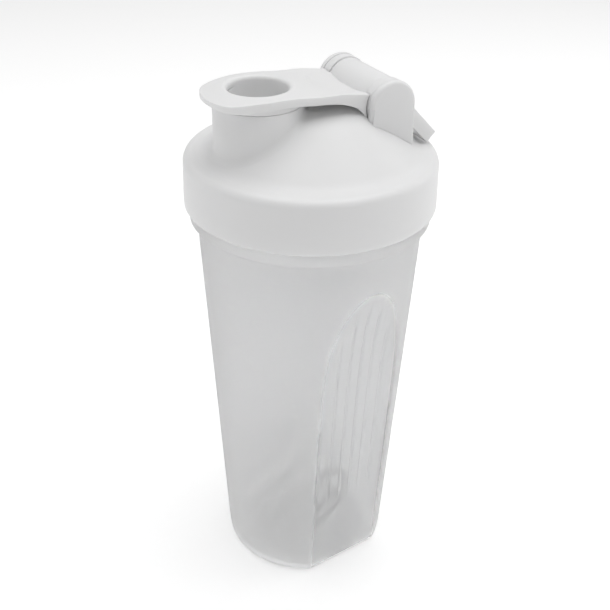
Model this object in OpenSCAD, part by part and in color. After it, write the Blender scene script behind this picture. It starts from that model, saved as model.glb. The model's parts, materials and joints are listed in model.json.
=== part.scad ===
// Shaker bottle: a tapered cup, a screw lid with a spout, a hinged spout cap, a carry
// loop on the same pivots, two soft seals and a loose whisk ball.
// The origin is the centre of the flat base. The spout points to -Y and the hinge lies along X.

/* [Cup] */
// Radius of the cup's side where it meets the base
base_r = 36; // [34:0.5:38]
// Height of the lower edge of the collar
collar_z = 165.7; // [164:0.1:167]
// Radius of the cup's side at the collar
top_r = 44.9; // [44:0.1:45.4]
// Radius of the collar
collar_r = 47.7; // [47:0.1:48]
// Thickness of the cup's wall
wall = 1.8; // [1.4:0.1:2.2]
// Thickness of the cup's floor
floor_t = 2.2; // [1.8:0.1:3]
// Round of the cup's lower edge
base_round = 3; // [2:0.5:4]

/* [Grip flats] */
// Distance of a grip flat from the axis, at the base
flat_d = 31; // [30:0.5:33]
// Outward lean of a grip flat, in mm for each mm of height
flat_lean = 0.0565; // [0.05:0.0005:0.06]
// Height where the flat starts to run out to the side
runout_z = 95; // [85:1:105]
// Radius of the run-out
runout_r = 340; // [300:10:400]
// Turn of the grip flats about the axis, away from the hinge line
grip_turn = 6; // [0:0.5:8]
// Number of grooves on each flat
grooves = 7; // [5:1:7]
// Distance between two grooves
groove_pitch = 6; // [5.5:0.1:6.1]
// Depth of a groove
groove_depth = 0.5; // [0.3:0.1:0.6]
// Height of the grooves' lower ends
groove_z = 42; // [40:1:60]

/* [Neck and thread] */
// Outer radius of the neck
neck_r = 44.3; // [44:0.1:44.6]
// Height of the neck's rim
rim_z = 187.6; // [187:0.1:188]
// Rise of the thread in one turn
lead = 5.6; // [5.4:0.1:6]
// Turns of thread on the neck and in the lid
thread_turns = 1.6; // [1.2:0.1:1.7]

/* [Lid] */
// Radius of the lid's skirt at its lower edge
skirt_r = 49.6; // [49.2:0.1:49.8]
// Height of the skirt's lower edge
skirt_z = 172; // [171.9:0.1:172.4]
// Height of the flat band at the lid's shoulder
band_z = 192.5; // [192:0.1:193]
// Thickness of the lid's shell
lid_t = 2; // [1.8:0.1:2.2]
// Height of the dome's top
dome_z = 211.2; // [210:0.1:211.3]
// Fall of the dome's side, in mm for each mm outwards
dome_slope = 0.8; // [0.76:0.01:0.82]

/* [Spout] */
// Distance of the spout's centre in front of the axis
spout_y = 22.3; // [21:0.1:22.5]
// Outer radius of the spout
spout_r = 16.8; // [16.6:0.1:17]
// Radius of the spout's bore
bore_r = 14.5; // [14.3:0.1:14.6]
// Height of the spout's lip
lip_z = 214.8; // [214.5:0.1:215]

/* [Hinge] */
// Distance of the hinge line behind the axis
hinge_y = 23.1; // [22.5:0.1:24]
// Height of the hinge line
hinge_z = 211.9; // [211.5:0.1:212.5]
// Radius of the ears
ear_r = 9.6; // [9.3:0.1:9.8]
// Half the distance between the ears' outer faces
ear_out = 20.8; // [20.6:0.1:21.2]
// Half the distance between the ears' inner faces
ear_in = 18; // [17.8:0.1:18.2]
// Radius of the stub pins on the ears
pin_r = 3; // [2.5:0.1:3.4]
// Radial clearance of the stub pins
pin_gap = 0.08; // [0.05:0.01:0.1]

/* [Spout cap] */
// Half the width of the cap's arm
arm_half = 17.2; // [17:0.1:17.4]
// Height of the crown of the cap over the spout
cap_z = 221.2; // [220.6:0.1:221.4]
// Thickness of the cap's plate
plate_t = 2.9; // [2.5:0.1:3.2]
// Reach of the cap's tip in front of the axis
cap_tip = 43; // [42:0.1:44]
// Round of the tip's two corners
tip_corner = 11; // [10:0.1:11.5]
// Radius of the hinge barrel
barrel_r = 9; // [8.6:0.1:9.1]
// Half the length of the hinge barrel
barrel_half = 13.5; // [13:0.1:13.6]
// Radius of the recess in the hollow plug
recess_r = 11.2; // [10.8:0.1:11.6]

/* [Carry loop] */
// Radius of the loop's eyes
eye_r = 9.4; // [9.2:0.1:9.5]
// Width of each arm of the loop
loop_w = 3.9; // [3.5:0.1:4]
// Reach of the loop from the hinge line
loop_reach = 28.3; // [27:0.1:28.5]
// Slope of the loop at rest, below the horizontal
loop_slope = 45; // [44:0.5:46]
// Thickness of the loop
loop_t = 5.4; // [5:0.1:5.6]

/* [Whisk ball] */
// Radius of the ball to the middle of its wire
ball_r = 25; // [23:0.5:26]
// Diameter of the wire
wire_d = 2; // [1.6:0.1:2.4]
// Turns of the wire from pole to pole
ball_turns = 6; // [5:1:8]

/* [Hidden] */
fine = 180;
taper = (top_r - base_r) / collar_z;
neck_in = neck_r - wall;
thread_h = 1.9;
thread_root = 2.2;
thread_crest = 1.2;
thread_start = 174.6;
skirt_in = 47.2;
shoulder_r = 3.7;
shoulder_c = 45.5;
seal_z = rim_z + 0.05;
seal_top = band_z - lid_t;
plug_r = 14.1;
plug_z = 204.2;
seal_y = 210.2;
dome_in = 40.5;
// radii where the lid's outline bends: at the band, and round the crown
band_bend = [43.1, 42.2, 41.3, 40.4, 39.6];
crown_bend = [25, 22, 19, 16, 12.6];
shell_drop = lid_t * 1.25;
pocket_r = 10.1;
ball_lean = 50;
ball_lean_to = -151;

// side of the cup at height z
function side_r(z) = base_r + taper * z;

// the smaller of two values, rounded over k where they meet
function smooth_min(a, b, k) = min(a, b) - pow(max(0, k - abs(a - b)), 2) / (4 * k);

// outline of the lid's top: a flat crown, a sloping side and a shallow band
function dome_side(r) = smooth_min(dome_z, 195.8 + dome_slope * (38.1 - r), 5);
function band(r) = band_z + 0.2 * (shoulder_c - r);
function dome_curve(r) = -smooth_min(-dome_side(r), -band(r), 1.2);

// ---- helpers ----

// a trapezoid ridge that climbs as a screw: outwards for side = 1, inwards for side = -1
module screw_ridge(r, side, turns, z0, turned) {
    step = 9;
    count = floor(turns * 360 / step);
    function swell(i) = min(1, 0.15 + min(i, count - i) / 4);
    function ring(i) = [for (p = [[-0.4, -0.5], [swell(i), -0.5 * thread_crest / thread_root],
                                  [swell(i), 0.5 * thread_crest / thread_root], [-0.4, 0.5]])
        let (rr = r + side * thread_h * p[0], a = turned + i * step)
        [rr * cos(a), rr * sin(a), z0 + lead * i * step / 360 + thread_root * p[1]]];
    points = [for (i = [0:count]) each ring(i)];
    walls = [for (i = [0:count - 1], k = [0:3]) each
        [[4 * i + k, 4 * i + (k + 1) % 4, 4 * i + 4 + (k + 1) % 4],
         [4 * i + k, 4 * i + 4 + (k + 1) % 4, 4 * i + 4 + k]]];
    ends = [[0, 3, 2], [0, 2, 1], [4 * count, 4 * count + 1, 4 * count + 2],
            [4 * count, 4 * count + 2, 4 * count + 3]];
    faces = concat(walls, ends);
    polyhedron(points, side < 0 ? [for (f = faces) [f[2], f[1], f[0]]] : faces);
}

// a bar along X
module bar_x(r, x0, x1) {
    translate([x0, 0, 0])
        rotate([0, 90, 0])
            cylinder(r = r, h = x1 - x0, $fn = fine);
}

// ---- cup ----

// everything outside one grip flat, moved inwards by inset
module grip_cut(inset) {
    flat_angle = atan(flat_lean);
    rotate([0, 0, grip_turn]) {
        translate([flat_d - inset, -40, 0])
            rotate([0, flat_angle, 0])
                translate([0, 0, -5])
                    cube([20, 80, runout_z + 5]);
        translate([flat_d - inset, 0, 0])
            rotate([0, flat_angle, 0])
                translate([runout_r, 0, runout_z])
                    rotate([90, 0, 0])
                        cylinder(r = runout_r, h = 80, center = true, $fn = 720);
    }
}

// one flat's grooves
module groove_cuts() {
    flat_angle = atan(flat_lean);
    groove_r = 1.6;
    rotate([0, 0, grip_turn])
        for (i = [0:grooves - 1])
            translate([flat_d, (i - (grooves - 1) / 2) * groove_pitch, 0])
                rotate([0, flat_angle, 0])
                    translate([groove_r - groove_depth, 0, groove_z])
                        cylinder(r = groove_r, h = runout_z + 8 - groove_z, $fn = 48);
}

module bottle() {
    color("gainsboro") {
        difference() {
            union() {
                difference() {
                    rotate_extrude($fn = fine)
                        polygon([[0, 0], [base_r - base_round, 0],
                                 for (a = [15:15:75])
                                     [base_r - base_round + base_round * sin(a), base_round * (1 - cos(a))],
                                 [side_r(base_round), base_round], [top_r, collar_z],
                                 [0, collar_z]]);
                    grip_cut(0);
                    mirror([1, 0, 0])
                        mirror([0, 1, 0])
                            grip_cut(0);
                    groove_cuts();
                    mirror([1, 0, 0])
                        mirror([0, 1, 0])
                            groove_cuts();
                }
                translate([0, 0, collar_z])
                    cylinder(r = collar_r, h = 6, $fn = fine);
                translate([0, 0, collar_z])
                    cylinder(r = neck_r, h = rim_z - collar_z, $fn = fine);
                screw_ridge(neck_r, 1, thread_turns, thread_start, 0);
            }
            difference() {
                rotate_extrude($fn = fine)
                    polygon([[0, floor_t], [side_r(floor_t) - wall - 1, floor_t],
                             [side_r(floor_t + 1) - wall, floor_t + 1], [neck_in, collar_z - 6],
                             [neck_in, rim_z + 1], [0, rim_z + 1]]);
                grip_cut(wall + 0.4);
                mirror([1, 0, 0])
                    mirror([0, 1, 0])
                        grip_cut(wall + 0.4);
            }
        }
    }
}

// ---- lid ----

// the lid's outer form, filled
module lid_form() {
    rotate_extrude($fn = fine)
        polygon([[0, skirt_z], [skirt_r - 0.3, skirt_z], [skirt_r, skirt_z + 0.5],
                 [shoulder_c + shoulder_r, band_z - shoulder_r],
                 for (a = [30:30:90])
                     [shoulder_c + shoulder_r * cos(a), band_z - shoulder_r + shoulder_r * sin(a)],
                 for (r = concat(band_bend, crown_bend)) [r, dome_curve(r)],
                 [0, dome_z]]);
}

// the space inside the lid: the skirt's bore and the dome's underside
module lid_space() {
    rotate_extrude($fn = fine)
        polygon([[0, skirt_z - 1], [skirt_in, skirt_z - 1], [skirt_in, seal_top], [dome_in, seal_top],
                 for (r = concat([38], crown_bend)) [r, dome_curve(r) - shell_drop],
                 [0, dome_z - shell_drop]]);
}

module ear(side) {
    mirror([side < 0 ? 1 : 0, 0, 0]) {
        translate([0, hinge_y, hinge_z])
            bar_x(ear_r, ear_in, ear_out);
        translate([ear_in, hinge_y - ear_r, 194.5])
            cube([ear_out - ear_in, 2 * ear_r, hinge_z - 194.5]);
    }
}

module pivot_pin(side) {
    mirror([side < 0 ? 1 : 0, 0, 0])
        translate([0, hinge_y, hinge_z])
            bar_x(pin_r, barrel_half - 3, ear_in + 0.5);
}

module lid() {
    color("white") {
        difference() {
            union() {
                lid_form();
                translate([0, -spout_y, 193])
                    cylinder(r = spout_r, h = lip_z - 193, $fn = fine);
                ear(1);
                ear(-1);
            }
            translate([0, -spout_y, 180])
                cylinder(r = bore_r, h = 40, $fn = fine);
            translate([0, hinge_y, hinge_z])
                bar_x(pocket_r, -ear_in, ear_in);
            difference() {
                lid_space();
                translate([0, hinge_y, hinge_z])
                    bar_x(pocket_r + lid_t, -ear_in - 1, ear_in + 1);
            }
        }
        pivot_pin(1);
        pivot_pin(-1);
        screw_ridge(skirt_in, -1, thread_turns, thread_start + lead / 2, 0);
    }
}

module lid_seal() {
    color("silver")
        rotate_extrude($fn = fine)
            polygon([[neck_in - 0.6, seal_z], [46.6, seal_z], [46.6, seal_top - 0.05],
                     [neck_in - 0.6, seal_top - 0.05]]);
}

// ---- spout cap ----

// upper line of the cap by distance s in front of the axis: a crown that falls away
// to the tip and, straight at last, to the hinge
crown_s = 22.5;
function back_fall(u) = u < 20 ? 0.0048 * u * u : 1.92 + 0.15 * (u - 20);
function arm_top(s) = cap_z - (s > crown_s ? 0.006 * pow(s - crown_s, 2) : back_fall(crown_s - s));
// the plate thins towards the tip and thickens towards the hinge
function arm_thick(s) = plate_t - 0.14 * max(0, s - 36) + 0.0095 * pow(max(0, 6 - s), 2)
    + 0.125 * pow(max(0, -9 - s), 2);

module arm_side() {
    step = 1.5;
    line = [for (s = [-13.5:step:cap_tip]) s];
    count = len(line);
    polygon(concat([for (s = line) [-s, arm_top(s)]],
                   [for (i = [count - 1:-1:0]) [-line[i], arm_top(line[i]) - arm_thick(line[i])]]));
}

// the arm seen from above
module arm_plan() {
    tip_r = 34;
    corner_x = arm_half - tip_corner;
    corner_s = 31.4;
    translate([-arm_half, -corner_s])
        square([2 * arm_half, 80]);
    for (x = [-corner_x, corner_x])
        translate([x, -corner_s])
            circle(r = tip_corner, $fn = fine);
    intersection() {
        translate([-corner_x, -cap_tip])
            square([2 * corner_x, 80]);
        translate([0, tip_r - cap_tip])
            circle(r = tip_r, $fn = fine);
    }
}

// the root of the arm, in front of the barrel
module arm_root() {
    intersection() {
        translate([-barrel_half, 9, hinge_z - 4])
            cube([2 * barrel_half, 8, 8.2]);
        translate([0, hinge_y, hinge_z])
            bar_x(barrel_r + 3, -barrel_half, barrel_half);
    }
}

// the collar under the plate, which stands on the spout's lip
module cap_collar() {
    slope = 3.8;
    translate([0, -spout_y, lip_z + 0.1])
        cylinder(r = spout_r, h = cap_z - plate_t - lip_z, $fn = fine);
    intersection() {
        translate([0, -spout_y, lip_z + 0.1])
            cylinder(r1 = spout_r, r2 = spout_r + 3 * slope, h = 3, $fn = fine);
        translate([0, 0, lip_z])
            linear_extrude(10)
                arm_plan();
        translate([-arm_half, -60, lip_z])
            cube([2 * arm_half, 60 - spout_y, 10]);
    }
}

module flip_cap() {
    color("white")
        difference() {
            union() {
                difference() {
                    intersection() {
                        rotate([90, 0, 90])
                            translate([0, 0, -arm_half])
                                linear_extrude(2 * arm_half)
                                    arm_side();
                        translate([0, 0, 190])
                            linear_extrude(40)
                                arm_plan();
                    }
                    translate([0, hinge_y, hinge_z]) {
                        bar_x(eye_r + 0.5, barrel_half, ear_out);
                        bar_x(eye_r + 0.5, -ear_out, -barrel_half);
                    }
                }
                translate([0, hinge_y, hinge_z])
                    bar_x(barrel_r, -barrel_half, barrel_half);
                arm_root();
                cap_collar();
                translate([0, -spout_y, plug_z])
                    cylinder(r1 = plug_r - 1.2, r2 = plug_r, h = lip_z + 0.3 - plug_z, $fn = fine);
            }
            difference() {
                rotate_extrude($fn = fine)
                    polygon([[0, 180], [42, 180],
                             for (r = concat([42], crown_bend)) [r, dome_curve(r) + 0.5],
                             [0, dome_z + 0.5]]);
                translate([0, -spout_y, 180])
                    cylinder(r = spout_r + 0.5, h = 60, $fn = fine);
            }
            translate([0, -spout_y, plug_z + 1.4])
                cylinder(r = recess_r, h = 20, $fn = fine);
            translate([0, -spout_y, cap_z - 1.8])
                cylinder(r1 = recess_r, r2 = recess_r + 1.7, h = 2, $fn = fine);
            translate([0, hinge_y, hinge_z]) {
                bar_x(pin_r + pin_gap, barrel_half - 3.2, barrel_half + 1);
                bar_x(pin_r + pin_gap, -barrel_half - 1, -barrel_half + 3.2);
            }
            translate([0, -spout_y, seal_y])
                rotate_extrude($fn = fine)
                    translate([plug_r - 1, 0])
                        square([3, 1.5]);
        }
}

module spout_seal() {
    color("silver")
        translate([0, -spout_y, seal_y])
            rotate_extrude($fn = fine)
                translate([plug_r - 1, 0])
                    square([1.2, 1.5]);
}

// ---- carry loop ----

// one eye with its arm, seen along X
module loop_side() {
    circle(r = eye_r, $fn = fine);
    rotate(-loop_slope)
        polygon([[0, 0.3], [loop_reach - 4.5, 0.5], [loop_reach, 1.6],
                 [loop_reach, loop_t - 0.1], [loop_reach - 2.5, loop_t + 0.3], [0, loop_t + 0.3]]);
}

module carry_loop() {
    eye_x = ear_in - 0.2 - loop_w;
    bar_l = 6;
    bar_half = eye_x + loop_w / 2;
    color("white")
        translate([0, hinge_y, hinge_z])
            difference() {
                union() {
                    for (x0 = [eye_x, -eye_x - loop_w])
                        translate([x0, 0, 0])
                            rotate([90, 0, 90])
                                linear_extrude(loop_w)
                                    loop_side();
                    rotate([-loop_slope, 0, 0])
                        translate([-bar_half, loop_reach - bar_l, 1.7])
                            cube([2 * bar_half, bar_l - 0.2, loop_t - 2]);
                }
                bar_x(pin_r + pin_gap, -30, 30);
            }
}

// ---- whisk ball ----

// a point on the ball's spiral, t from 0 to 1
function spiral(t) = let (lift = -80 + 160 * t, turn = 360 * ball_turns * t)
    [ball_r * cos(lift) * cos(turn), ball_r * cos(lift) * sin(turn), ball_r * sin(lift)];

module wire_sweep(n) {
    sides = 6;
    function along(t) = let (d = spiral(t + 0.001) - spiral(t - 0.001)) d / norm(d);
    function ring(t) = let (c = spiral(t), u = c / norm(c), v = cross(along(t), u), w = v / norm(v))
        [for (k = [0:sides - 1]) c + wire_d / 2 * (cos(360 * k / sides) * u + sin(360 * k / sides) * w)];
    points = [for (i = [0:n]) each ring(i / n)];
    walls = [for (i = [0:n - 1], k = [0:sides - 1]) each
        let (a = sides * i + k, b = sides * i + (k + 1) % sides)
        [[a, b, b + sides], [a, b + sides, a + sides]]];
    ends = [[for (k = [sides - 1:-1:0]) k], [for (k = [0:sides - 1]) sides * n + k]];
    polyhedron(points, [for (f = concat(walls, ends)) [for (k = [len(f) - 1:-1:0]) f[k]]]);
}

module whisk_ball() {
    color("silver")
        translate([-1.4, -6.4, floor_t + ball_r + wire_d / 2 + 0.1])
            rotate([0, 0, ball_lean_to])
                rotate([0, ball_lean, 0])
                    wire_sweep(ball_turns * 26);
}

bottle();
lid();
lid_seal();
flip_cap();
spout_seal();
carry_loop();
whisk_ball();
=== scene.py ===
"""Shaker bottle: frosted cup, satin lid, spout cap, carry loop, seals and a wire whisk ball.

Every piece is drawn in millimetres and laid down in metres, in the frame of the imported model.
The spout points to -Y, the hinge line runs along X, and s is a distance in front of the axis.
"""
import json
import math

import bpy
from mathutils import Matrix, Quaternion, Vector


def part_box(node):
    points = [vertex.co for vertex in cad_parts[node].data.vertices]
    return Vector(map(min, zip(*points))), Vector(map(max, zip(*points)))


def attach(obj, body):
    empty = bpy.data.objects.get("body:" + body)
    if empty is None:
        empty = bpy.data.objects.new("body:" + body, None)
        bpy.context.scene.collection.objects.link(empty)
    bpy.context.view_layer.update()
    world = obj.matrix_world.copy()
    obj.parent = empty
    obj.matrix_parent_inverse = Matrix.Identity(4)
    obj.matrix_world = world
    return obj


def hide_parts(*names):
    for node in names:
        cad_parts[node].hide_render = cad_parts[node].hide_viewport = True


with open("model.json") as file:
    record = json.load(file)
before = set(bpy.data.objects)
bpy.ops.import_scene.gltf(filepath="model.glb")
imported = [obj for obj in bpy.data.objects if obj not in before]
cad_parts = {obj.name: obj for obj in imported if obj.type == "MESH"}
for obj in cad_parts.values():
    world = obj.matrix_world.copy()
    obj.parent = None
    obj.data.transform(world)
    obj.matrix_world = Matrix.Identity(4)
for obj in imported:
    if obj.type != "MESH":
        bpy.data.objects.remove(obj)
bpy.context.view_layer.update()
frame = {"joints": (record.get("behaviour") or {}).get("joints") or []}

MM = 0.001

# ---- driving sizes, in millimetres: outer limits from the frame, details of its design ----


def box_mm(node):
    """Lowest and highest corner of a node, in millimetres."""
    low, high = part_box(node)
    return low / MM, high / MM


def joint_mm(name):
    """Place of a joint, in millimetres."""
    joint = next(j for j in frame["joints"] if j["name"] == name)
    return Vector(joint["pos_m"]) / MM


CUP_HIGH = box_mm("bottle")[1]
LID_LOW, LID_HIGH = box_mm("lid")
CAP_LOW, CAP_HIGH = box_mm("flip_cap")
LOOP_HALF = box_mm("carry_loop")[1].x
RING_LOW, RING_HIGH = box_mm("lid_seal")
PLUG_RING_LOW, PLUG_RING_HIGH = box_mm("spout_seal")
HINGE = joint_mm("cap_hinge")

# the cup
COLLAR_R = CUP_HIGH.x
RIM_Z = CUP_HIGH.z
NECK_H = 21.9
COLLAR_Z = RIM_Z - NECK_H
COLLAR_STEP = 3.4
NECK_R = COLLAR_R - COLLAR_STEP
WALL = 1.8
FLOOR_T = 2.2
BASE_R = 36
TOP_R = 44.9
BASE_ROUND = 3
FOOT_IN, FOOT_OUT, FOOT_H = 25.5, 28, 0.8
PANEL_D = 31
PANEL_LEAN = 0.0565
PANEL_RUNOUT_Z = 95
PANEL_RUNOUT = 4.4
PANEL_TOP_Z = 150
PANEL_TURN = math.radians(6)
FLUTES = 7
FLUTE_PITCH = 6
FLUTE_DEPTH = 0.5
FLUTE_HALF = 0.6
FLUTE_LOW, FLUTE_HIGH = 40, 145

# the lid
SKIRT_R = LID_HIGH.x
SKIRT_Z = LID_LOW.z
SKIRT_IN = SKIRT_R - 2.4
BAND_Z = SKIRT_Z + 20.5
DOME_Z = BAND_Z + 18.7
CROWN_R = 11.5
DOME_FOOT_R = 38.1
DOME_SLOPE = 0.8
LID_T = 2
SHOULDER_R = 3.7
SHOULDER_C = SKIRT_R - 4.1
LEAD = 5.6
THREAD_TURNS = 1.6
THREAD_Z = SKIRT_Z + 2.6
THREAD_H, THREAD_ROOT, THREAD_CREST = 1.9, 2.2, 1.2
LIP_Z = 214.8
SPOUT_S = -(PLUG_RING_LOW.y + PLUG_RING_HIGH.y) / 2
SPOUT_R = 16.8
BORE_R = 14.5
EAR_R = LID_HIGH.z - HINGE.z
EAR_IN = 18
EAR_OUT = 20.8
PIN_R = 3
POCKET_R = 10.1

# the spout cap
CAP_Z = CAP_HIGH.z
CAP_TIP = -CAP_LOW.y
ARM_HALF = CAP_HIGH.x
CREST_S = 22.5
CROWN_BACK, CROWN_FRONT = 0.0048, 0.006
TIP_ROUND = 50
TIP_CORNER = 11.5
PLATE_T = 2.9
BARREL_R = 9
BARREL_HALF = 13.5
RECESS_R = 11.2
PLUG_R = 14.1
PLUG_Z = CAP_LOW.z

# the carry loop
EYE_R = 9.4
LOOP_W = 3.9
LOOP_REACH = 28.3
LOOP_SLOPE = math.radians(45)
LOOP_T = 5.4

# the whisk ball
BALL_R = 25
WIRE_R = 1
BALL_TURNS = 6
BALL_LEAN = math.radians(50)
BALL_LEAN_TO = math.radians(-151)


# ---- outlines that several pieces share ----


def smooth_min(a, b, k):
    """The smaller of two values, rounded over k where they meet."""
    return min(a, b) - max(0.0, k - abs(a - b)) ** 2 / (4 * k)


def ease(x):
    """A soft step from 0 to 1."""
    x = max(0.0, min(1.0, x))
    return x * x * (3 - 2 * x)


def side_r(z):
    """Radius of the cup's side at height z."""
    return BASE_R + (TOP_R - BASE_R) / COLLAR_Z * z


def dome_z(r):
    """Height of the lid's top at radius r: a crown, a sloping side and a shallow band."""
    crown = DOME_Z - 0.5 * ease((r - CROWN_R) / 5)
    side = smooth_min(crown, BAND_Z + 3.3 + DOME_SLOPE * (DOME_FOOT_R - r), 4.5)
    band = BAND_Z + 0.2 * (SHOULDER_C - r)
    return -smooth_min(-side, -band, 1.2)


def cap_top(s, h=0.0):
    """Height of the spout cap's upper face, crowned both ways over the spout."""
    u = s - CREST_S
    across = CROWN_BACK * h * h * ease((s + 6) / 16)
    if u > 0:
        return CAP_Z - CROWN_FRONT * u * u - across
    return CAP_Z - (CROWN_BACK * u * u if u > -20 else 1.92 - 0.15 * (u + 20)) - across


def cap_thick(s):
    """Thickness of the cap's plate, thin at the tip and thick at the hinge."""
    tip = 0.14 * max(0, s - 36)
    root = 0.0095 * max(0, 6 - s) ** 2 + 0.125 * max(0, -9 - s) ** 2
    return PLATE_T - tip + root


def cap_front(h):
    """Where the cap's outline ends in front, at a distance h from the middle."""
    return CAP_TIP - h * h / TIP_ROUND - TIP_CORNER * (abs(h) / ARM_HALF) ** 8


# ---- modelling ----


def leave_edit():
    """Back to object mode, with nothing chosen."""
    if bpy.context.object and bpy.context.object.mode == "EDIT":
        bpy.ops.object.mode_set(mode="OBJECT")
    bpy.ops.object.select_all(action="DESELECT")


def choose(piece, *others):
    """Makes piece the active one, with the others chosen too."""
    leave_edit()
    for one in (piece, *others):
        one.select_set(True)
    bpy.context.view_layer.objects.active = piece


def pick_edges(piece, wanted):
    """Chooses the edges of piece for which wanted is true at both ends."""
    mesh = piece.data
    for group in (mesh.vertices, mesh.edges, mesh.polygons):
        group.foreach_set("select", [False] * len(group))
    for e in mesh.edges:
        e.select = all(wanted(mesh.vertices[i].co / MM) for i in e.vertices)


def bevel_chosen(piece, width, segments):
    """Rounds the chosen edges of piece."""
    bpy.context.view_layer.objects.active = piece
    bpy.ops.object.mode_set(mode="EDIT")
    bpy.ops.mesh.bevel(offset=width * MM, segments=segments, profile=0.5)
    leave_edit()


def tidy_mesh(piece, gap=0.002):
    """Merges what meets and turns every face outwards."""
    choose(piece)
    bpy.ops.object.mode_set(mode="EDIT")
    bpy.ops.mesh.select_all(action="SELECT")
    bpy.ops.mesh.remove_doubles(threshold=gap * MM)
    bpy.ops.mesh.normals_make_consistent(inside=False)
    leave_edit()


def ring_of_points(name, points):
    """A ring of points laid along a closed outline, given in millimetres."""
    leave_edit()
    bpy.ops.mesh.primitive_circle_add(vertices=len(points), radius=MM)
    piece = bpy.context.object
    piece.name = name
    for v, p in zip(piece.data.vertices, points):
        v.co = Vector(p) * MM
    return piece


def turned(name, outline, steps, centre=(0, 0, 0)):
    """Spins a closed outline of (radius, height) about the vertical through centre."""
    cx, cy, cz = centre
    piece = ring_of_points(name, [(cx + r, cy, cz + z) for r, z in outline])
    choose(piece)
    bpy.ops.object.mode_set(mode="EDIT")
    bpy.ops.mesh.select_all(action="SELECT")
    bpy.ops.mesh.spin(steps=steps, angle=2 * math.pi, center=Vector(centre) * MM, axis=(0, 0, 1))
    tidy_mesh(piece)
    return piece


def drawn_across(name, outline, x0, x1):
    """Fills an outline of (y, z) at x0 and extrudes it to x1."""
    piece = ring_of_points(name, [(x0, y, z) for y, z in outline])
    choose(piece)
    bpy.ops.object.mode_set(mode="EDIT")
    bpy.ops.mesh.select_all(action="SELECT")
    bpy.ops.mesh.edge_face_add()
    bpy.ops.mesh.extrude_region_move(TRANSFORM_OT_translate={"value": ((x1 - x0) * MM, 0, 0)})
    tidy_mesh(piece)
    return piece


def round_bar(name, radius, x0, x1, sides=96, soft=0.0):
    """A bar along the hinge line, with softened ends."""
    leave_edit()
    bpy.ops.mesh.primitive_cylinder_add(
        vertices=sides, radius=radius * MM, depth=abs(x1 - x0) * MM,
        location=((x0 + x1) / 2 * MM, HINGE.y * MM, HINGE.z * MM), rotation=(0, math.pi / 2, 0))
    piece = bpy.context.object
    piece.name = name
    bpy.ops.object.transform_apply(location=True, rotation=True, scale=True)
    if soft:
        soften(piece, soft, 4, 60)
    return piece


def apply_modifier(piece, kind, **settings):
    """Adds a modifier with its settings and applies it."""
    choose(piece)
    modifier = piece.modifiers.new(kind.lower(), kind)
    for key, value in settings.items():
        setattr(modifier, key, value)
    bpy.ops.object.modifier_apply(modifier=modifier.name)


def soften(piece, width, segments=3, angle=35):
    """Rounds every edge sharper than angle."""
    apply_modifier(piece, "BEVEL", width=width * MM, segments=segments, limit_method="ANGLE",
                   angle_limit=math.radians(angle), use_clamp_overlap=True, harden_normals=False)


def combine(piece, other, how):
    """Joins other to piece, or cuts it out of piece, and clears it away."""
    apply_modifier(piece, "BOOLEAN", object=other, operation=how, solver="EXACT")
    bpy.data.objects.remove(other)


def push(piece, rule):
    """Moves every vertex to where rule puts it, in millimetres."""
    for v in piece.data.vertices:
        v.co = Vector(rule(v.co / MM)) * MM
    piece.data.update()


def smooth(piece, angle=32):
    """Shades smooth, with a crease where faces turn by more than angle."""
    choose(piece)
    bpy.ops.object.shade_smooth_by_angle(angle=math.radians(angle))
    leave_edit()


def arc(cx, cz, r, start, end, count):
    """Points on an arc, in degrees."""
    step = (end - start) / count
    angles = [math.radians(start + step * i) for i in range(count + 1)]
    return [(cx + r * math.cos(a), cz + r * math.sin(a)) for a in angles]


def span(start, end, count):
    """Evenly spaced values, both ends among them."""
    return [start + (end - start) * i / count for i in range(count + 1)]


# ---- cup ----


def panel_d(z):
    """Distance of a grip panel from the axis, rolled in at the foot and out at the top."""
    d = PANEL_D + PANEL_LEAN * z
    if z > PANEL_RUNOUT_Z:
        d += PANEL_RUNOUT * ((z - PANEL_RUNOUT_Z) / (PANEL_TOP_Z - PANEL_RUNOUT_Z)) ** 2.6
    if z < BASE_ROUND:
        d -= BASE_ROUND - math.sqrt(max(0.0, BASE_ROUND ** 2 - (BASE_ROUND - z) ** 2))
    return d


def flute(h, z):
    """Depth of the flutes on a panel, at a distance h from its middle."""
    most = (FLUTES - 1) / 2
    nearest = max(-most, min(most, round(h / FLUTE_PITCH)))
    gap = abs(h - nearest * FLUTE_PITCH)
    top_z = FLUTE_HIGH - 1.6 * nearest ** 2 - 0.55 * nearest ** 4
    length = ease((z - FLUTE_LOW) / 5) * ease((top_z - z) / 5)
    return length * (FLUTE_DEPTH * math.exp(-(gap / FLUTE_HALF) ** 2) + 0.12 * min(1, gap / 3) ** 2)


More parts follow.
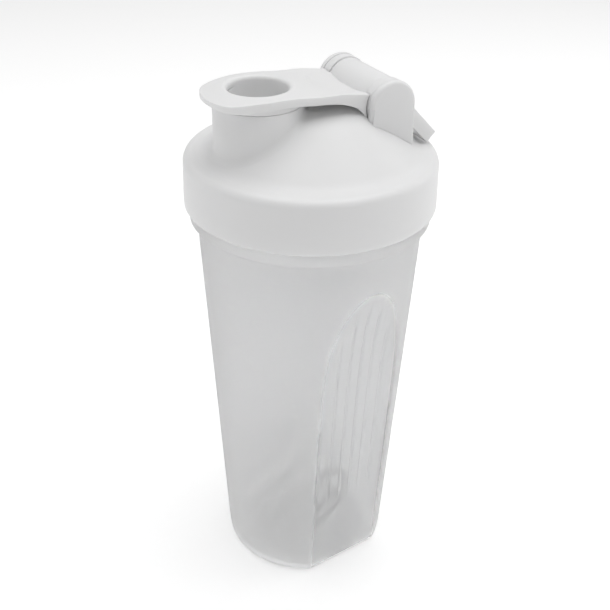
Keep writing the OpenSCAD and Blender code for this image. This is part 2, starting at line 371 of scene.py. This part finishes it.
def make_cup():
    """The cup as one turned wall, its two grip flats pressed in and fluted."""
    outer = [(0, FOOT_H), (FOOT_IN, FOOT_H), (FOOT_OUT - 1, 0.5), (FOOT_OUT, 0)]
    outer += [(BASE_R - BASE_ROUND, 0)]
    outer += arc(BASE_R - BASE_ROUND, BASE_ROUND, BASE_ROUND, -75, 0, 6)
    outer += [(side_r(z), z) for z in span(5, COLLAR_Z - 1.2, 64)]
    collar = [(TOP_R + 0.15, COLLAR_Z - 0.5), (TOP_R + 0.6, COLLAR_Z)]
    collar += [(COLLAR_R - 1, COLLAR_Z + 0.15)]
    collar += arc(COLLAR_R - 0.9, COLLAR_Z + 1.05, 0.9, -70, 0, 4)
    collar += arc(COLLAR_R - 0.6, COLLAR_Z + 5.4, 0.6, 0, 90, 4)
    collar += [(NECK_R + 0.5, COLLAR_Z + 6), (NECK_R, COLLAR_Z + 6.5)]
    rim = arc(NECK_R - 0.8, RIM_Z - 0.8, 0.8, 0, 90, 4)
    rim += arc(NECK_R - 1.2, RIM_Z - 0.6, 0.6, 90, 180, 4)
    inner = [(NECK_R - WALL, z) for z in span(RIM_Z - 3, COLLAR_Z - 5, 3)]
    inner += [(side_r(z) - WALL, z) for z in span(COLLAR_Z - 10, 8, 26)]
    inner += arc(side_r(6) - WALL - 3, FLOOR_T + 3, 3, 0, -90, 5) + [(24, FLOOR_T), (0, FLOOR_T)]
    cup = turned("cup_body", outer + collar + rim + inner, 540)

    turn_cos, turn_sin = math.cos(PANEL_TURN), math.sin(PANEL_TURN)
    pressed = []

    def press_panels(p):
        r = math.hypot(p.x, p.y)
        if r < 20 or p.z > COLLAR_Z - 4:
            return p
        across = p.x * turn_cos + p.y * turn_sin
        along = p.y * turn_cos - p.x * turn_sin
        cos_a = abs(across) / r
        if cos_a < 0.3:
            return p
        inside = FLOOR_T - 0.1 < p.z and r < side_r(p.z) - WALL / 2
        d = panel_d(p.z) - (WALL + 0.2 if inside else flute(along, p.z))
        new_r = smooth_min(r, d / cos_a, 0.4)
        return (p.x * new_r / r, p.y * new_r / r, p.z)

    for v in cup.data.vertices:
        before = v.co / MM
        after = Vector(press_panels(before))
        pressed.append(min(1.0, (before - after).length / 0.9))
        v.co = after * MM
    panel = cup.data.attributes.new("panel", "FLOAT", "POINT")
    panel.data.foreach_set("value", pressed)
    smooth(cup, 50)
    return cup


def make_thread(name, radius, side, z0):
    """A rounded ridge that climbs as a screw, outwards for side 1 and inwards for side -1."""
    height, root, crest = THREAD_H, THREAD_ROOT, THREAD_CREST
    outline = [(radius - side * 0.4, -root / 2), (radius + side * (height - 0.3), -crest / 2),
               (radius + side * height, -crest / 2 + 0.3), (radius + side * height, crest / 2 - 0.3),
               (radius + side * (height - 0.3), crest / 2), (radius - side * 0.4, root / 2)]
    piece = ring_of_points(name, [(r, 0, z0 + z) for r, z in outline])
    choose(piece)
    bpy.ops.object.mode_set(mode="EDIT")
    bpy.ops.mesh.select_all(action="SELECT")
    bpy.ops.mesh.edge_face_add()
    leave_edit()
    apply_modifier(piece, "SCREW", angle=THREAD_TURNS * 2 * math.pi,
                   screw_offset=THREAD_TURNS * LEAD * MM,
                   steps=230, render_steps=230, axis="Z", use_merge_vertices=False)
    tidy_mesh(piece, 0.02)

    def fade(p):
        r = math.hypot(p.x, p.y)
        turn = (math.atan2(p.y, p.x) / (2 * math.pi)) % 1
        climbed = (p.z - z0) / LEAD
        run = turn + round(climbed - turn)
        left = min(run, THREAD_TURNS - run) * 360
        swell = 0.15 + 0.85 * ease(left / 30)
        new_r = radius + (r - radius) * swell if (r - radius) * side > 0 else r
        return (p.x * new_r / r, p.y * new_r / r, p.z)

    push(piece, fade)
    smooth(piece, 40)
    return piece


# ---- lid ----


def lid_form():
    """The lid filled: skirt, shoulder, band and dome."""
    outline = [(0, SKIRT_Z), (SKIRT_R - 0.5, SKIRT_Z)]
    outline += arc(SKIRT_R - 0.4, SKIRT_Z + 0.4, 0.4, -60, 0, 3)
    outline += [(SKIRT_R - 0.1, SKIRT_Z + 6), (SKIRT_R - 0.25, SKIRT_Z + 12)]
    outline += arc(SHOULDER_C, BAND_Z - SHOULDER_R, SHOULDER_R, 0, 90, 12)
    outline += [(r, dome_z(r)) for r in span(44.5, 38, 13) + span(37, 1, 36)]
    outline += [(0, DOME_Z)]
    return turned("lid_shell", outline, 288)


def lid_space():
    """The room inside the lid, which is cut out of it."""
    drop = LID_T * 1.25
    outline = [(0, SKIRT_Z - 1), (SKIRT_IN, SKIRT_Z - 1), (SKIRT_IN, BAND_Z - LID_T - 0.6)]
    outline += [(SKIRT_IN - 0.6, BAND_Z - LID_T), (40.5, BAND_Z - LID_T)]
    outline += [(r, dome_z(r) - drop) for r in span(38, 1, 37)] + [(0, DOME_Z - drop)]
    return turned("lid_space", outline, 180)


def make_spout():
    """The spout with a rounded lip, its foot flared to meet the dome."""
    flare, rows = 2.2, 8
    outline = [(0, 188), (0, LIP_Z), (SPOUT_R - 0.35, LIP_Z)]
    outline += arc(SPOUT_R - 0.35, LIP_Z - 0.35, 0.35, 75, 0, 4)
    outline += [(SPOUT_R + i / 1000, 212 - i) for i in range(rows + 1)]
    outline += [(SPOUT_R + flare + 0.3, 188)]
    spout = turned("spout", outline, 144, centre=(0, -SPOUT_S, 0))

    def settle(p):
        dx, dy = p.x, p.y + SPOUT_S
        r = math.hypot(dx, dy)
        row = 212 - p.z
        if r < SPOUT_R - 0.01 or not -0.5 < row < rows + 0.5:
            return p
        a = row / rows * math.pi / 2
        out = SPOUT_R + flare * (1 - math.cos(a))
        x, y = dx / r * out, dy / r * out - SPOUT_S
        z = dome_z(math.hypot(x, y)) + flare * (1 - math.sin(a)) - 0.04
        return (x, y, min(z, LIP_Z - 1 - row * 0.02))

    push(spout, settle)
    return spout


def make_ear(side):
    """An upright ear, round on top, with its pin on the inner face."""
    foot = 193
    outline = [(HINGE.y - EAR_R, foot)] + arc(HINGE.y, HINGE.z, EAR_R, 180, 0, 48)
    outline += [(HINGE.y + EAR_R, foot)]
    ear = drawn_across("ear", outline, side * EAR_IN, side * EAR_OUT)
    for x, width, steps in ((EAR_OUT, 1.3, 6), (EAR_IN, 0.25, 2)):
        pick_edges(ear, lambda p: abs(abs(p.x) - x) < 0.01 and p.z > foot + 0.1)
        bevel_chosen(ear, width, steps)
    tidy_mesh(ear, 0.005)
    pin = round_bar("pin", PIN_R, side * (BARREL_HALF - 2.6), side * (EAR_IN + 0.5), 48, 0.4)
    combine(ear, pin, "UNION")
    return ear


def make_lid():
    """The lid's shell with its spout, its bore, the hinge pocket and both ears."""
    lid = lid_form()
    combine(lid, make_spout(), "UNION")
    space = lid_space()
    boss = round_bar("boss", POCKET_R + LID_T, -EAR_IN - 1, EAR_IN + 1, 64)
    combine(space, boss, "DIFFERENCE")
    combine(lid, space, "DIFFERENCE")
    lip = [(0, 180), (BORE_R, 180), (BORE_R, LIP_Z - 0.8)]
    lip += arc(BORE_R + 0.8, LIP_Z - 0.8, 0.8, 180, 105, 4)[1:]
    lip += [(BORE_R + 0.8, LIP_Z + 1), (0, LIP_Z + 1)]
    combine(lid, turned("bore", lip, 144, centre=(0, -SPOUT_S, 0)), "DIFFERENCE")
    combine(lid, round_bar("pocket", POCKET_R, -EAR_IN, EAR_IN), "DIFFERENCE")
    for side in (1, -1):
        combine(lid, make_ear(side), "UNION")
    tidy_mesh(lid)
    smooth(lid, 28)
    return lid


def make_rim_ring():
    """The soft ring under the lid's top, with a rounded bead that meets the rim."""
    low, high = RING_LOW.z, RING_HIGH.z
    outer, inner = RING_HIGH.x, 41.9
    outline = arc(outer - 0.4, high - 0.4, 0.4, 0, 90, 4)
    outline += arc(inner + 0.4, high - 0.4, 0.4, 90, 180, 4)
    outline += [(inner, low + 0.8), (inner + 0.5, low + 0.5)]
    outline += arc(inner + 2, low + 1.0, 1.0, 200, 340, 6)
    outline += [(outer - 0.6, low + 0.5), (outer, low + 0.9)]
    ring = turned("rim_ring", outline, 180)
    smooth(ring, 40)
    return ring


# ---- spout cap ----


def scoop(s, h):
    """Depth of the thumb scoop behind the spout, deepest at the barrel."""
    past = (1 - 0.05 * h * h) - s
    if past <= 0:
        return 0
    width = max(0.0, 1 - (abs(h) / 15) ** 4)
    return width * (0.4 * ease(past / 1.0) + 1.1 * (min(past, 14) / 14) ** 1.6)


def cap_plate():
    """The arm and its tip: a grid pushed to the outline, then given its thickness."""
    back, crowding = -16.5, 0.12
    across, along = 44, 92
    leave_edit()
    bpy.ops.mesh.primitive_grid_add(x_subdivisions=across, y_subdivisions=along, size=2 * MM)
    plate = bpy.context.object
    plate.name = "spout_cover"

    def lay(p):
        h = ARM_HALF * math.sin(max(-1, min(1, p.x)) * math.pi / 2)
        front = cap_front(h)
        v = (1 - p.y) / 2
        v -= crowding * math.sin(2 * math.pi * v) / (2 * math.pi)
        s = back + v * (front - back)
        return (h, -s, cap_top(s, h) - scoop(s, h))

    push(plate, lay)
    choose(plate)
    bpy.ops.object.mode_set(mode="EDIT")
    bpy.ops.mesh.select_all(action="SELECT")
    bpy.ops.mesh.extrude_region_move(TRANSFORM_OT_translate={"value": (0, 0, -20 * MM)})
    leave_edit()
    for v in plate.data.vertices:
        if v.co.z < (CAP_Z - 12) * MM:
            s, h = -v.co.y / MM, v.co.x / MM
            v.co.z = (cap_top(s, h) - cap_thick(s)) * MM
    tidy_mesh(plate)
    soften(plate, 0.75, 4, 55)
    return plate


def cap_collar():
    """The collar that stands on the spout's lip, flared to the plate's edge, with its plug."""
    start = LIP_Z + 0.1
    rows = 6
    outline = [(0, PLUG_Z), (PLUG_R - 1.8, PLUG_Z), (PLUG_R - 1.1, PLUG_Z + 0.5)]
    outline += [(PLUG_R - 0.4, 209), (PLUG_R - 0.3, PLUG_RING_LOW.z), (PLUG_R - 1, PLUG_RING_LOW.z)]
    outline += [(PLUG_R - 1, PLUG_RING_HIGH.z), (PLUG_R - 0.15, PLUG_RING_HIGH.z)]
    outline += [(PLUG_R, start), (SPOUT_R - 0.15, start)]
    outline += [(SPOUT_R, start + 0.15 + i * 0.1) for i in range(rows + 1)]
    outline += [(SPOUT_R - 1, start + 2), (0, start + 2)]
    collar = turned("collar", outline, 144, centre=(0, -SPOUT_S, 0))

    def inside(x, s):
        return abs(x) < ARM_HALF - 0.35 and s < cap_front(x) - 0.35

    edges = {}

    def edge_r(x, s):
        key = (round(x, 3), round(s, 3))
        if key not in edges:
            r = SPOUT_R
            while r < 26 and s > 0 and inside(x * (r + 0.1), SPOUT_S + s * (r + 0.1)):
                r += 0.1
            edges[key] = r
        return edges[key]

    def flare(p):
        dx, ds = p.x, -p.y - SPOUT_S
        r = math.hypot(dx, ds)
        if r < SPOUT_R - 1.1 or p.z < start + 0.1:
            return p
        ux, us = dx / r, ds / r
        out = edge_r(ux, us)
        s_out = SPOUT_S + us * out
        top = cap_top(s_out, ux * out) - cap_thick(s_out) + 0.7
        if p.z > start + 1.5:
            inner = out - 1
            return (ux * inner, -SPOUT_S - us * inner, top + 0.6)
        t = max(0.0, (p.z - start - 0.15) / (0.1 * rows))
        new_r = SPOUT_R + (out - SPOUT_R) * t
        z = start + 0.15 + (top - start - 0.15) * t ** 1.15
        return (ux * new_r, -SPOUT_S - us * new_r, z)

    push(collar, flare)
    return collar


def recess_tool():
    """The fingertip recess, with its rounded mouth following the crowned plate."""
    mouth = 1.9
    outline = [(0, PLUG_Z + 1.4), (RECESS_R - 1.3, PLUG_Z + 1.4), (RECESS_R - 0.5, PLUG_Z + 1.9)]
    outline += [(RECESS_R - 0.35, PLUG_Z + 3), (RECESS_R, CAP_Z - 4)]
    outline += arc(RECESS_R + mouth, CAP_Z - mouth, mouth, 180, 100, 8)
    outline += [(RECESS_R + mouth, CAP_Z + 2), (0, CAP_Z + 2)]
    tool = turned("recess", outline, 128, centre=(0, -SPOUT_S, 0))

    def follow(p):
        if p.z < CAP_Z - 2.5:
            return p
        return (p.x, p.y, p.z + cap_top(-p.y, p.x) - CAP_Z)

    push(tool, follow)
    return tool


def make_cap():
    """The spout cap: plate, barrel, collar and plug in one, with the pins' holes."""
    cap = cap_plate()
    for side in (1, -1):
        clear = round_bar("clear", EYE_R + 0.5, side * BARREL_HALF, side * 21, 72)
        combine(cap, clear, "DIFFERENCE")
    barrel = round_bar("barrel", BARREL_R, -BARREL_HALF, BARREL_HALF, 120, 0.45)
    combine(cap, barrel, "UNION")
    combine(cap, cap_collar(), "UNION")
    combine(cap, recess_tool(), "DIFFERENCE")
    for side in (1, -1):
        hole = round_bar("hole", PIN_R + 0.08, side * (BARREL_HALF - 3.2), side * (BARREL_HALF + 1), 48)
        combine(cap, hole, "DIFFERENCE")
    tidy_mesh(cap)
    smooth(cap, 28)
    return cap


def make_plug_ring():
    """The soft ring in the plug's groove."""
    low, high = PLUG_RING_LOW.z, PLUG_RING_HIGH.z
    middle, half = (low + high) / 2, (high - low) / 2 - 0.02
    outline = [(PLUG_R - 0.95, low + 0.05)] + arc(PLUG_R - 0.5, middle, half, -90, 90, 10)
    outline += [(PLUG_R - 0.95, high - 0.05)]
    ring = turned("plug_ring", outline, 128, centre=(0, -SPOUT_S, 0))
    smooth(ring, 50)
    return ring


# ---- carry loop ----


def sloped(along, lift):
    """A place on the loop's slab: distance along its slope and height off it, as (y, z)."""
    c, s = math.cos(LOOP_SLOPE), math.sin(LOOP_SLOPE)
    return (HINGE.y + along * c + lift * s, HINGE.z - along * s + lift * c)


def on_slope(p):
    """The distance along the loop's slope and the height off it, of a point."""
    c, s = math.cos(LOOP_SLOPE), math.sin(LOOP_SLOPE)
    y, z = p.y - HINGE.y, p.z - HINGE.z
    return y * c - z * s, y * s + z * c


def make_loop():
    """The carry loop: two eyes on the pins and a slab with a finger window."""
    top = LOOP_T + 0.3
    start = math.degrees(math.asin(top / EYE_R)) - 45
    end = 360 + math.degrees(math.asin(0.3 / EYE_R)) - 45
    outline = arc(HINGE.y, HINGE.z, EYE_R, start, end, 72)
    outline += [sloped(LOOP_REACH - 0.2, 0.45), sloped(LOOP_REACH, 0.7), sloped(LOOP_REACH, top - 0.25),
                sloped(LOOP_REACH - 0.3, top)]
    loop = drawn_across("carry_handle", outline, -LOOP_HALF, LOOP_HALF)

    window_half, window_end = LOOP_HALF - LOOP_W, LOOP_REACH - 6
    window = drawn_across("window", [sloped(-12, -12), sloped(window_end, -12),
                                     sloped(window_end, 14), sloped(-12, 14)],
                          -window_half, window_half)
    pick_edges(window, lambda p: abs(abs(p.x) - window_half) < 0.01 and
               on_slope(p)[0] > window_end - 0.1)
    bevel_chosen(window, 3, 8)
    combine(loop, window, "DIFFERENCE")
    tidy_mesh(loop)
    soften(loop, 0.7, 3, 38)
    combine(loop, round_bar("hole", PIN_R + 0.08, -30, 30, 48), "DIFFERENCE")

    def round_corners(p):
        along, lift = on_slope(p)
        corner = 5
        over_a, over_x = along - (LOOP_REACH - corner), abs(p.x) - (LOOP_HALF - corner)
        if over_a <= 0 or over_x <= 0 or abs(p.x) < window_half - 4:
            return p
        scale = max(over_a, over_x) / math.hypot(over_a, over_x)
        y, z = sloped(LOOP_REACH - corner + over_a * scale, lift)
        x = math.copysign(LOOP_HALF - corner + over_x * scale, p.x)
        return (x, y, z)

    push(loop, round_corners)
    tidy_mesh(loop)
    smooth(loop, 28)
    return loop


# ---- whisk ball ----


def make_ball():
    """One wire wound from pole to pole, its ends rounded over."""
    middle = Vector((-1.4, -6.4, FLOOR_T + BALL_R + WIRE_R + 0.1))
    count = 420
    curve = bpy.data.curves.new("whisk_wire", "CURVE")
    curve.dimensions = "3D"
    spline = curve.splines.new("POLY")
    spline.points.add(count)
    lean = Quaternion((0, 0, 1), BALL_LEAN_TO) @ Quaternion((0, 1, 0), BALL_LEAN)
    for i in range(count + 1):
        t = i / count
        lift = math.radians(-80 + 160 * t)
        turn = 2 * math.pi * BALL_TURNS * t
        p = Vector((math.cos(lift) * math.cos(turn), math.cos(lift) * math.sin(turn),
                    math.sin(lift)))
        end = 0.45 + 0.55 * min(1, math.sqrt(min(i, count - i) / 1.5))
        spline.points[i].co = (*((middle + lean @ (p * BALL_R)) * MM), 1)
        spline.points[i].radius = end
    curve.bevel_depth = (WIRE_R - 0.02) * MM
    curve.bevel_resolution = 4
    curve.use_fill_caps = True
    ball = bpy.data.objects.new("whisk_wire", curve)
    bpy.context.scene.collection.objects.link(ball)
    choose(ball)
    bpy.ops.object.convert(target="MESH")
    ball = bpy.context.object
    tidy_mesh(ball)
    smooth(ball, 50)
    return ball


# ---- materials ----


class Finish:
    """A node material with a principled shader and its output."""

    def __init__(self, name, **sockets):
        self.material = bpy.data.materials.new(name)
        self.material.use_nodes = True
        self.tree = self.material.node_tree
        self.tree.nodes.clear()
        self.shader = self.node("ShaderNodeBsdfPrincipled")
        out = self.node("ShaderNodeOutputMaterial")
        self.link(self.shader.outputs["BSDF"], out.inputs["Surface"])
        for socket, value in sockets.items():
            self.shader.inputs[socket.replace("_", " ")].default_value = value
        self.place = self.node("ShaderNodeTexCoord").outputs["Object"]

    def node(self, kind, **settings):
        node = self.tree.nodes.new(kind)
        for key, value in settings.items():
            setattr(node, key, value)
        return node

    def link(self, start, end):
        self.tree.links.new(start, end)

    def noise(self, scale, detail=2.0, rough=0.5):
        noise = self.node("ShaderNodeTexNoise")
        noise.inputs["Scale"].default_value = scale
        noise.inputs["Detail"].default_value = detail
        noise.inputs["Roughness"].default_value = rough
        self.link(self.place, noise.inputs["Vector"])
        return noise.outputs["Fac"]

    def remap(self, value, low, high, start=0.3, end=0.7):
        remap = self.node("ShaderNodeMapRange")
        remap.inputs["From Min"].default_value = start
        remap.inputs["From Max"].default_value = end
        remap.inputs["To Min"].default_value = low
        remap.inputs["To Max"].default_value = high
        self.link(value, remap.inputs["Value"])
        return remap.outputs["Result"]

    def shade(self, value, dark, light):
        """Colour that runs from dark to light with value."""
        ramp = self.node("ShaderNodeValToRGB")
        ramp.color_ramp.elements[0].color = (*dark, 1)
        ramp.color_ramp.elements[1].color = (*light, 1)
        ramp.color_ramp.elements[0].position = 0.3
        ramp.color_ramp.elements[1].position = 0.7
        self.link(value, ramp.inputs["Fac"])
        self.link(ramp.outputs["Color"], self.shader.inputs["Base Color"])

    def bump(self, value, depth, strength=1.0, below=None):
        bump = self.node("ShaderNodeBump")
        bump.inputs["Distance"].default_value = depth * MM
        bump.inputs["Strength"].default_value = strength
        self.link(value, bump.inputs["Height"])
        if below is not None:
            self.link(below, bump.inputs["Normal"])
        self.link(bump.outputs["Normal"], self.shader.inputs["Normal"])
        return bump.outputs["Normal"]


def satin_white(light=0.78):
    """Moulded white polypropylene: satin, with a fine spark-eroded grain and a soft inner glow."""
    finish = Finish("white_lid", IOR=1.49, Subsurface_Weight=0.35, Subsurface_Scale=0.003)
    finish.shader.inputs["Subsurface Radius"].default_value = (1.0, 1.0, 0.95)
    flow = finish.noise(35, 3)
    finish.shade(flow, (light - 0.015,) * 3, (light, light, light + 0.002))
    grain = finish.noise(5200, 2, 0.6)
    finish.link(finish.remap(grain, 0.36, 0.46), finish.shader.inputs["Roughness"])
    waves = finish.bump(finish.noise(70, 1), 0.02, 0.35)
    finish.bump(grain, 0.006, 0.5, below=waves)
    return finish.material


def frosted():
    """Frosted cup: fine matt grain that scatters light, clearer on the polished panels."""
    finish = Finish("frosted_cup", IOR=1.15, Subsurface_Weight=1.0, Subsurface_Scale=0.006)
    finish.shader.inputs["Subsurface Radius"].default_value = (1.0, 1.0, 1.0)
    flow = finish.noise(28, 3)
    finish.shade(flow, (0.985, 0.987, 0.99), (0.994, 0.995, 0.997))
    panel = finish.node("ShaderNodeAttribute", attribute_name="panel").outputs["Fac"]
    grain = finish.noise(4200, 2, 0.6)
    frosting = finish.remap(grain, 0.36, 0.42)
    clear = finish.node("ShaderNodeMix", data_type="FLOAT")
    finish.link(panel, clear.inputs["Factor"])
    finish.link(frosting, clear.inputs["A"])
    clear.inputs["B"].default_value = 0.18
    finish.link(clear.outputs["Result"], finish.shader.inputs["Roughness"])
    finish.link(finish.remap(panel, 0.5, 0.66, 0, 1), finish.shader.inputs["Transmission Weight"])
    waves = finish.bump(finish.noise(60, 2), 0.03, 0.3)
    finish.bump(grain, 0.008, 0.5, below=waves)
    return finish.material


def silicone():
    """Soft pale seal, matt, with a faint bloom."""
    finish = Finish("soft_seal", IOR=1.41, Subsurface_Weight=0.2, Subsurface_Scale=0.002)
    finish.shade(finish.noise(160, 3), (0.74, 0.75, 0.76), (0.8, 0.81, 0.82))
    grain = finish.noise(3000, 2)
    finish.link(finish.remap(grain, 0.5, 0.66), finish.shader.inputs["Roughness"])
    finish.bump(grain, 0.01, 0.4)
    return finish.material


def steel():
    """Drawn and polished stainless wire."""
    finish = Finish("steel_wire", Metallic=1.0)
    draw = finish.noise(900, 4, 0.7)
    finish.shade(draw, (0.2, 0.2, 0.21), (0.34, 0.34, 0.35))
    finish.link(finish.remap(draw, 0.16, 0.32), finish.shader.inputs["Roughness"])
    finish.bump(draw, 0.01, 0.3)
    return finish.material


def plain(name, colour, rough, glow):
    finish = Finish(name, Roughness=rough, Emission_Strength=glow)
    finish.shader.inputs["Emission Color"].default_value = (1, 1, 1, 1)
    finish.shade(finish.noise(3, 1), tuple(c - 0.004 for c in colour), colour)
    return finish.material


# ---- stage ----


def make_stage():
    bpy.ops.mesh.primitive_plane_add(size=6)
    floor = bpy.context.object
    floor.name = "floor"
    floor.data.materials.append(plain("pale_floor", (0.95, 0.95, 0.95), 0.9, 0.24))


def soft_light(name, place, side, power):
    """A square soft box turned to the middle of the cup."""
    leave_edit()
    bpy.ops.object.light_add(type="AREA", location=place)
    lamp = bpy.context.object
    lamp.name = name
    lamp.data.shape = "SQUARE"
    lamp.data.size = side
    lamp.data.energy = power
    lamp.rotation_euler = (Vector(place) - Vector((0, 0, 0.11))).to_track_quat("Z", "Y").to_euler()


def make_light():
    world = bpy.data.worlds.new("soft_room")
    world.use_nodes = True
    room = world.node_tree.nodes["Background"]
    room.inputs["Color"].default_value = (1, 1, 1, 1)
    room.inputs["Strength"].default_value = 0.47
    bpy.context.scene.world = world
    soft_light("top_box", (0.0, 0.1, 1.2), 1.1, 7.4)
    soft_light("left_box", (-0.7, -0.8, 0.5), 0.9, 1.0)
    soft_light("right_box", (0.2, 1.1, 0.5), 0.9, 2.2)


def make_camera():
    place = Vector((0.2931, -0.1625, 0.3284))
    aim = Vector((-0.00065, -0.00117, 0.12156))
    roll = math.radians(0.94)
    bpy.ops.object.camera_add(location=place)
    camera = bpy.context.object
    camera.rotation_mode = "QUATERNION"
    level = (aim - place).to_track_quat("-Z", "Y")
    camera.rotation_quaternion = level @ Quaternion((0, 0, 1), roll)
    camera.data.sensor_width = 36
    camera.data.lens = 54.78
    camera.data.clip_start = 0.01
    bpy.context.scene.camera = camera
    bpy.context.scene.view_settings.view_transform = "Standard"


# ---- assembly ----


def fit(piece, body, slot, material, *nodes):
    """Gives a piece its finish and its body, and hides the plain solids that it stands for."""
    piece.data.materials.clear()
    piece.data.materials.append(material)
    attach(piece, body)
    if nodes:
        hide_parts(*nodes)


leave_edit()
white = satin_white()
cup_finish = frosted()
seal_finish = silicone()

fit(make_cup(), "bottle", "frosted_cup", cup_finish, "bottle")
fit(make_thread("cup_thread", NECK_R, 1, THREAD_Z), "bottle", "frosted_cup", cup_finish)
fit(make_lid(), "lid", "white_lid", white, "lid")
fit(make_thread("lid_thread", SKIRT_IN, -1, THREAD_Z + LEAD / 2), "lid", "white_lid", white)
fit(make_rim_ring(), "lid_seal", "soft_seal", seal_finish, "lid_seal")
fit(make_cap(), "flip_cap", "white_lid", white, "flip_cap")
fit(make_plug_ring(), "flip_cap", "soft_seal", seal_finish, "spout_seal")
fit(make_loop(), "carry_loop", "white_lid", white, "carry_loop")
fit(make_ball(), "whisk_ball", "steel_wire", steel(), "whisk_ball")

make_stage()
make_light()
make_camera()
